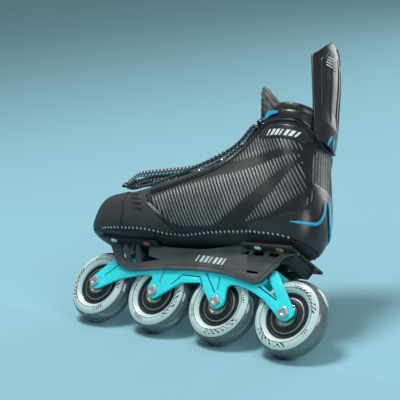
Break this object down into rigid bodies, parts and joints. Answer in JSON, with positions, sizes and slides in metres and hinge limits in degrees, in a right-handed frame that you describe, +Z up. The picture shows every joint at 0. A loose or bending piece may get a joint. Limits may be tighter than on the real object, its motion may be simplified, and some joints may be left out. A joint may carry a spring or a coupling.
{
  "type": "inline skate",
  "caption": "Left inline hockey skate: laced boot on a rocking two-part chassis with wheels in a row.",
  "frame": {"origin": "on the floor, midway between the axles, in the middle of the skate's width", "axes": "+X towards the heel, +Y towards the inner (medial) side, +Z up from the floor"},
  "size_m": [0.316, 0.0984, 0.3325],
  "materials": {
    "clear_urethane": "clear cast urethane with a pale printed side",
    "black_hub": "moulded, satin",
    "bearing_steel": "turned, bright",
    "axle_steel": "brushed",
    "turquoise_alloy": "milled and anodised, satin",
    "grey_composite": "mottled chopped-fibre moulding",
    "copper_rivet": "plain copper",
    "rubber": "matte",
    "ribbed_shell": "ribbed composite weave under lacquer",
    "gloss_black": "glossy coated synthetic leather",
    "matte_grey": "matte pebbled moulding",
    "black_sole": "moulded sole plate",
    "lining": "brushed microfibre over foam",
    "tongue_felt": "felt with quilted facing",
    "lace_black": "flat woven lace with light flecks along its edges"
  },
  "bodies": {
    "frame": {"lower_frame": "turquoise_alloy", "rocker_pin": "axle_steel", "front_damper": "rubber", "rear_damper": "rubber", "axle_1": "axle_steel", "axle_2": "axle_steel", "axle_3": "axle_steel", "axle_4": "axle_steel", "bearing_spacer_1": "axle_steel", "bearing_spacer_2": "axle_steel", "bearing_spacer_3": "axle_steel", "bearing_spacer_4": "axle_steel"},
    "boot": {"upper_chassis": "grey_composite", "rivet_front_lateral_1": "copper_rivet", "rivet_front_lateral_2": "copper_rivet", "rivet_front_medial_1": "copper_rivet", "rivet_front_medial_2": "copper_rivet", "rivet_rear_lateral_1": "copper_rivet", "rivet_rear_lateral_2": "copper_rivet", "rivet_rear_medial_1": "copper_rivet", "rivet_rear_medial_2": "copper_rivet", "outsole": "black_sole", "insole": "lining", "toe_cap": "matte_grey", "vamp": "matte_grey", "quarter": "ribbed_shell", "liner": "lining", "collar": "gloss_black", "heel_counter": "gloss_black", "eyestay_lateral": "gloss_black", "eyestay_medial": "gloss_black", "tongue": "tongue_felt", "guard_base": "gloss_black", "lace": "lace_black", "lace_bow": "lace_black", "lace_tail_lateral": "lace_black", "lace_tail_medial": "lace_black", "aglet_lateral": "black_hub", "aglet_medial": "black_hub"},
    "tongue_flap": {"tongue_top": "tongue_felt"},
    "guard_leaf": {"tendon_guard": "gloss_black"},
    "wheel_1": {"tyre_1": "clear_urethane", "hub_1": "black_hub", "bearing_lateral_1": "bearing_steel", "bearing_medial_1": "bearing_steel"},
    "wheel_2": {"tyre_2": "clear_urethane", "hub_2": "black_hub", "bearing_lateral_2": "bearing_steel", "bearing_medial_2": "bearing_steel"},
    "wheel_3": {"tyre_3": "clear_urethane", "hub_3": "black_hub", "bearing_lateral_3": "bearing_steel", "bearing_medial_3": "bearing_steel"},
    "wheel_4": {"tyre_4": "clear_urethane", "hub_4": "black_hub", "bearing_lateral_4": "bearing_steel", "bearing_medial_4": "bearing_steel"}
  },
  "joints": [
    {"name": "wheel_spin_1", "type": "hinge", "parent": "frame", "child": "wheel_1", "pos_m": [-0.12, 0, 0.038], "axis": [0, 1, 0], "continuous": true},
    {"name": "wheel_spin_2", "type": "hinge", "parent": "frame", "child": "wheel_2", "pos_m": [-0.04, 0, 0.038], "axis": [0, 1, 0], "continuous": true},
    {"name": "wheel_spin_3", "type": "hinge", "parent": "frame", "child": "wheel_3", "pos_m": [0.04, 0, 0.038], "axis": [0, 1, 0], "continuous": true},
    {"name": "wheel_spin_4", "type": "hinge", "parent": "frame", "child": "wheel_4", "pos_m": [0.12, 0, 0.038], "axis": [0, 1, 0], "continuous": true},
    {"name": "chassis_rock", "type": "hinge", "parent": "frame", "child": "boot", "pos_m": [0, 0, 0.066], "axis": [0, 1, 0], "range_deg": [-2, 2], "stiffness_Nm_per_rad": 120, "deforming": ["front_damper", "rear_damper"]},
    {"name": "tongue_fold", "type": "hinge", "parent": "boot", "child": "tongue_flap", "pos_m": [0.0145, 0, 0.23615], "axis": [0, -1, 0], "range_deg": [0, 30], "stiffness_Nm_per_rad": 0.5},
    {"name": "guard_flex", "type": "hinge", "parent": "boot", "child": "guard_leaf", "pos_m": [0.0972, 0, 0.23615], "axis": [0, 1, 0], "range_deg": [0, 20], "stiffness_Nm_per_rad": 3}
  ]
}
